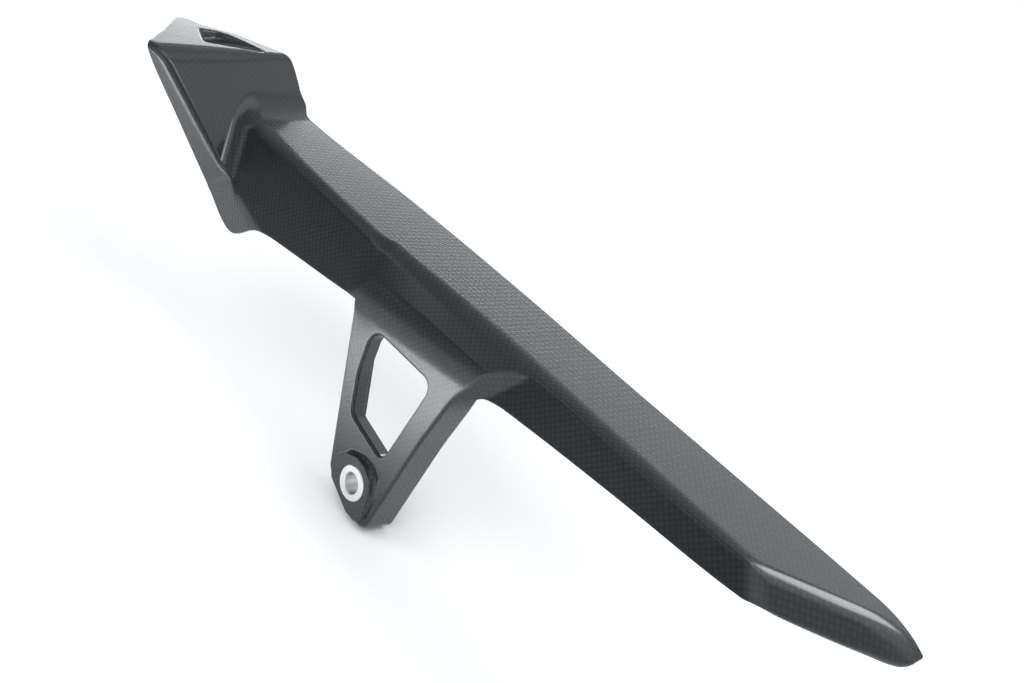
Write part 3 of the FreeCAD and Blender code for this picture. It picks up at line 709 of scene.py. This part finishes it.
def bracket_skin(places, outer, normals, inner):
    """Bracket as rows round its outline: face, rounded edge, turned-in flange and inner side."""
    skin = Skin()
    out_w = BRACKET[:, 2]
    at = tuple(shared_places(places, outer))
    border_flat = on_face(outer[at])
    line = rounded_line(
        [border_flat[-1, :2]] + RIM + [border_flat[0, :2]], [0] + RIM_ROUNDS + [0], LINE_STEP, closed=False)
    away = side_normals(line, False, PLATE_MIDDLE)
    travel = np.concatenate([[0], np.cumsum(np.linalg.norm(np.diff(line, axis=0), axis=1))])
    ahead = travel[-1] - travel
    edge = (EDGE * eased(travel, 0.0, 6.0) * eased(ahead, 0.0, 7.0))[:, None]
    inset = line - away * edge
    ring = rounded_line(WINDOW, WINDOW_ROUNDS, LINE_STEP)
    out = side_normals(ring, True, PLATE_MIDDLE)
    angle = np.linspace(0, 2 * np.pi, 64, endpoint=False)
    circle = np.stack([np.cos(angle), np.sin(angle)], 1)
    gu, gv = np.meshgrid(np.arange(-46.0, 32.0, 1.3), np.arange(56.4, 74.0, 0.75))
    grid = np.stack([gu.ravel(), gv.ravel()], 1)
    front, front_window, grid, spots, base, height = plate(
        skin, inset, outer[at], [ring + out * WINDOW_EDGE, circle * BUSH_SEAT], grid,
        shared_normals=normals[at])

    right = np.searchsorted(places, BRACKET_TO)
    outward_row = np.hstack([away, np.zeros((len(line), 1))]) @ BRACKET.T
    corner = from_face(line[:, 0], line[:, 1], height)
    turn_in = eased(ahead, 24.0, 9.0)[:, None]
    climb = eased(ahead, 9.0, 0.0)[:, None]
    deep = EDGE + 0.2 + (FLANGE_DEPTH - EDGE - 0.2) * eased(travel, 0.0, 8.0)
    blade_corner = outer[right, -1] * (1 - climb) + outer[right - 1, -1] * climb
    free = (corner - out_w * deep[:, None]) * (1 - turn_in) + blade_corner * turn_in
    back_way = unit(free - corner)
    side_out = unit(outward_row * (1 - turn_in) + FLANGE_OUT * turn_in)
    rows = [front]
    flange_start = corner + back_way * edge
    for t in (0.17, 0.33, 0.5, 0.67, 0.83, 1.0):
        bend = spots * (1 - t) ** 2 + corner * 2 * t * (1 - t) + flange_start * t * t
        rows.append(skin.add(bend, base * (1 - t) + side_out * t, inset + away * edge * t * 2))
    width = np.linalg.norm(free - flange_start, axis=1, keepdims=True)
    for t in (0.25, 0.5, 0.75, 1.0):
        cloth = inset + away * (edge * 2 + width * t)
        rows.append(skin.add(flange_start * (1 - t) + free * t, side_out, cloth))
    free_inside = free - side_out * SKIN
    rim_points, rim_normals = rounded_rim(free, free_inside, side_out, back_way)
    for step in range(RIM_STEPS):
        cloth = inset + away * (edge * 2 + width + RIM_BULGE * (step + 1))
        rows.append(skin.add(rim_points[:, step], rim_normals[:, step], cloth))
    fillet = 0.8 + 2.2 * eased(travel, 0.0, 6.0) * eased(ahead, 2.0, 12.0)
    near_plate = corner - side_out * SKIN - base * SKIN
    near_plate = near_plate + back_way * np.minimum(fillet, 0.5 * width[:, 0])[:, None]
    for place in (free_inside, near_plate):
        rows.append(skin.add(place, -side_out, inset + away * (edge * 2 + width + 3.0)))

    back_line = line - away * (fillet * eased(travel, 0.0, 3.0) * eased(ahead, 0.0, 3.0))[:, None]
    back, back_window, *_ = plate(
        skin, back_line, inner[at], [ring + out * SKIN, circle * BARREL + np.array(BARREL_SHIFT)], grid, SKIN)
    rows.append(back)
    for a, b in zip(rows, rows[1:]):
        skin.band(a, b)
    window_lip(skin, front_window, back_window, ring, out)
    pad_and_barrel(skin, line)
    return skin


def window_lip(skin, front, back, ring, out):
    """Lip round the window: rounded edge, wall turned in, rounded free edge, back to the plate's far side."""
    out_w = BRACKET[:, 2]
    inward_row = np.hstack([-out, np.zeros((len(ring), 1))]) @ BRACKET.T
    rows = [front]
    for turn in np.radians([22, 45, 67, 90]):
        place = ring + out * WINDOW_EDGE * (1 - math.sin(turn))
        cloth = ring + out * WINDOW_EDGE * (1 - turn)
        rows.append(skin.add(
            from_face(place[:, 0], place[:, 1], -WINDOW_EDGE * (1 - math.cos(turn))),
            out_w * math.cos(turn) + inward_row * math.sin(turn), cloth))
    for step, above, lean in LIP_END:
        place = ring + out * step
        level = above - WINDOW_LIP
        cloth = ring + out * (WINDOW_EDGE * (1 - np.pi / 2) + level - step)
        facing = inward_row * math.cos(lean) - out_w * math.sin(lean)
        rows.append(skin.add(from_face(place[:, 0], place[:, 1], level), facing, cloth))
    rows.append(back)
    for a, b in zip(rows, rows[1:]):
        skin.band(a, b, closed=True)


def pad_and_barrel(skin, line):
    """Pad that rises in a soft step from the leaning face to a flat square to the bush; barrel behind."""
    count = 96
    turns = np.linspace(-np.pi, np.pi, count, endpoint=False)

    def by_angle(outline):
        """Outline points at the even turns."""
        angle = np.arctan2(outline[:, 1], outline[:, 0])
        order = np.argsort(angle)
        return [np.interp(turns, angle[order], outline[order, k], period=2 * np.pi) for k in (0, 1)]

    foot_u, foot_v = by_angle(rounded_line(PAD_FOOT, [3.0] * 6 + [2.5] * 2 + [3.0] * 2, 1.0))
    top_u, top_v = by_angle(rounded_line(PAD_FACE, [2.5] * 6 + [2.0] * 2 + [2.5] * 2, 1.0))
    foot_uv = np.stack([foot_u, foot_v], 1)
    to_rim = np.min(np.linalg.norm(foot_uv[:, None] - line[None], axis=2), axis=1)
    low = from_face(foot_u, foot_v, -PAD_SINK * (1 - eased(to_rim, 0.6, 2.6)) - 0.02)
    crest = from_face(top_u, top_v, 0.0)
    crest[:, 1] = PAD_LEVEL
    rise = (crest - low) @ BRACKET[:, 2]
    share = np.linspace(0, 1, 13)
    soft = 1 - np.sqrt(1 - PAD_ROLL * share ** 2) + math.sqrt(1 - PAD_ROLL) * share ** 6 - share
    places = low + (crest - low) * share[:, None, None] + (rise * soft[:, None])[..., None] * BRACKET[:, 2]
    along = np.roll(places, -1, 1) - np.roll(places, 1, 1)
    lean = unit(np.cross(np.gradient(places, axis=0), along))
    lean *= np.where(lean[..., 1:2] > 0, -1.0, 1.0)
    lean[-1] = (0, -1.0, 0)
    cloth = on_face(places)[..., :2]
    rows = list(skin.add(places, lean, cloth))
    radial = np.stack([np.cos(turns), np.zeros(count), np.sin(turns)], 1)
    facing = np.tile([0, -1.0, 0], (count, 1))
    seat = radial * BUSH_SEAT + np.array([0, PAD_LEVEL, 0])
    rows.append(skin.add(seat, facing, seat[:, [0, 2]]))
    for a, b in zip(rows, rows[1:]):
        skin.band(a, b, closed=True)
    wall = []
    for radius, level, turned in (
            (BUSH_SEAT, PAD_LEVEL, -radial), (BUSH_SEAT, BARREL_END, -radial),
            (BUSH_SEAT, BARREL_END, -facing), (BARREL, BARREL_END, -facing),
            (BARREL, BARREL_END, radial), (BARREL, SKIN + 1.0, radial)):
        spots = radial * radius + np.array([0, level, 0])
        wall.append(skin.add(spots, turned, np.stack([turns * radius, np.full(count, level)], 1)))
    for i in (0, 2, 4):
        skin.band(wall[i], wall[i + 1], closed=True)


CARBON = carbon_laminate()
ALUMINIUM = turned_aluminium()

blade_parts, *blade_grid = blade_skin()
blade = blade_parts.build("blade_laminate", CARBON)
bracket = bracket_skin(*blade_grid).build("bracket_laminate", CARBON)
for piece in (blade, bracket):
    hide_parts("guard_shell")
    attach(piece, "root")
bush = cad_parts["bush"]
bush.data.materials.clear()
bush.data.materials.append(ALUMINIUM)

# Studio: paper floor, pale surroundings, soft lamps
# Half the floor's width and the gap below the part, in metres
REACH, UNDER = 60.0, 0.0006


def paper_floor(low):
    """Sheet of studio paper that reaches past everything the camera sees."""
    mesh = bpy.data.meshes.new("studio_floor")
    corners = [(-REACH, -REACH, low), (REACH, -REACH, low), (REACH, REACH, low), (-REACH, REACH, low)]
    mesh.from_pydata(corners, [], [(0, 1, 2, 3)])
    mesh.materials.append(pale_floor())
    made = bpy.data.objects.new("studio_floor", mesh)
    bpy.context.collection.objects.link(made)
    return made


def backdrop():
    """Light of the room by direction: a panel low behind the deck, a dark side wall, soft glows elsewhere."""
    world = bpy.data.worlds.new("studio")
    bpy.context.scene.world = world
    world.use_nodes = True
    sky = world.node_tree
    sky.nodes.clear()
    calc = partial(arithmetic, sky)
    direction = node(sky, "ShaderNodeTexCoord")
    axes = node(sky, "ShaderNodeSeparateXYZ", links={0: direction.outputs["Generated"]})
    east, north, height = axes.outputs
    flat = calc("SQRT", calc("ADD", calc("MULTIPLY", east, east), calc("MULTIPLY", north, north)))
    flat = calc("MAXIMUM", flat, 0.01)

    def share(value, start, end):
        """0 at start, 1 at end, softly between."""
        limits = {"From Min": min(start, end), "From Max": max(start, end)}
        settings = {"interpolation_type": "SMOOTHSTEP", **limits}
        if start > end:
            settings.update({"To Min": 1.0, "To Max": 0.0})
        return node(sky, "ShaderNodeMapRange", settings, {"Value": value}).outputs[0]

    def patch(toward, turned, height_limits):
        """Share of a patch round a compass angle in degrees, by turn toward it and by height."""
        c, s = math.cos(math.radians(toward)), math.sin(math.radians(toward))
        ahead = calc("ADD", calc("MULTIPLY", east, c), calc("MULTIPLY", north, s))
        return calc("MULTIPLY", share(calc("DIVIDE", ahead, flat), *turned), share(height, *height_limits))

    panel = patch(149.0, (0.80, 0.96), (0.31, 0.26))
    dark_wall = patch(234.0, (0.45, 0.85), (0.72, 0.50))
    ramp_glow = patch(75.0, (0.30, 0.85), (0.75, 0.55))
    front_glow = patch(272.0, (0.10, 0.75), (0.85, 0.60))
    overhead = patch(50.0, (0.15, 0.75), (0.66, 0.86))
    level = calc("ADD", calc("MULTIPLY", ramp_glow, 0.7), calc("MULTIPLY", front_glow, 0.9))
    level = calc("ADD", level, 0.42)
    level = calc("MULTIPLY", calc("SUBTRACT", 1.0, calc("MULTIPLY", dark_wall, 0.85)), level)
    level = calc("ADD", level, calc("MULTIPLY", panel, 3.2))
    level = calc("ADD", level, calc("MULTIPLY", overhead, 1.3))
    light = node(sky, "ShaderNodeBackground", {"Color": srgb("#f4f7fa")}, {"Strength": level})
    node(sky, "ShaderNodeOutputWorld", links={0: light.outputs[0]})


def placed_lamp(name, kind, aim, place=(0.0, 0.0, 0.0), **settings):
    """Lamp of one kind at a place, shining along a direction."""
    light = bpy.data.lights.new(name, kind)
    for key, value in settings.items():
        setattr(light, key, value)
    made = bpy.data.objects.new(name, light)
    bpy.context.collection.objects.link(made)
    made.location = place
    made.rotation_euler = aim.to_track_quat("-Z", "Y").to_euler()
    return made


def far_softbox(name, toward, height, spread, power):
    """Far lamp: compass angle, height and spread in degrees, and the light it lays on a sheet facing it."""
    flat, up = math.cos(math.radians(height)), math.sin(math.radians(height))
    aim = -Vector((flat * math.cos(math.radians(toward)), flat * math.sin(math.radians(toward)), up))
    made = placed_lamp(name, "SUN", aim, energy=power, angle=math.radians(spread), color=(0.95, 0.98, 1.0))
    made.visible_glossy = False


def near_softbox(name, place, target, size, spread, power):
    """Square lamp aimed at a point, its beam held to an angle in degrees."""
    aim = Vector(target) - Vector(place)
    made = placed_lamp(name, "AREA", aim, place, size=size, spread=math.radians(spread), energy=power)
    made.visible_camera = False


floor = paper_floor(FIRST_BOUNDS[0][2] - UNDER)
backdrop()
far_softbox("key", 262.0, 48.0, 66.0, 1.7)
near_softbox("tail_box", (0.208, 0.284, 0.511), (0.165, 0.038, 0.078), 0.20, 120.0, 0.40)
near_softbox("paper_box", (-0.10, -0.20, 0.20), (-0.10, -0.20, 0.0), 0.08, 80.0, 0.8)

# Camera, found from the photo's vanishing lines: place, and directions right, up and back
EYE = (0.2734, -0.2910, 0.2645)
RIGHT, UP, BACK = (0.608, 0.698, 0.379), (-0.559, 0.037, 0.829), (0.564, -0.715, 0.412)
lens = bpy.data.cameras.new("camera")
lens.sensor_width = 36.0
lens.lens = 42.19
lens.clip_start = 0.01
lens.clip_end = 200.0
camera = bpy.data.objects.new("camera", lens)
bpy.context.collection.objects.link(camera)
camera.matrix_world = Matrix([*zip(RIGHT, UP, BACK, EYE), (0, 0, 0, 1)])
bpy.context.scene.camera = camera
bpy.context.scene.view_settings.view_transform = "Standard"
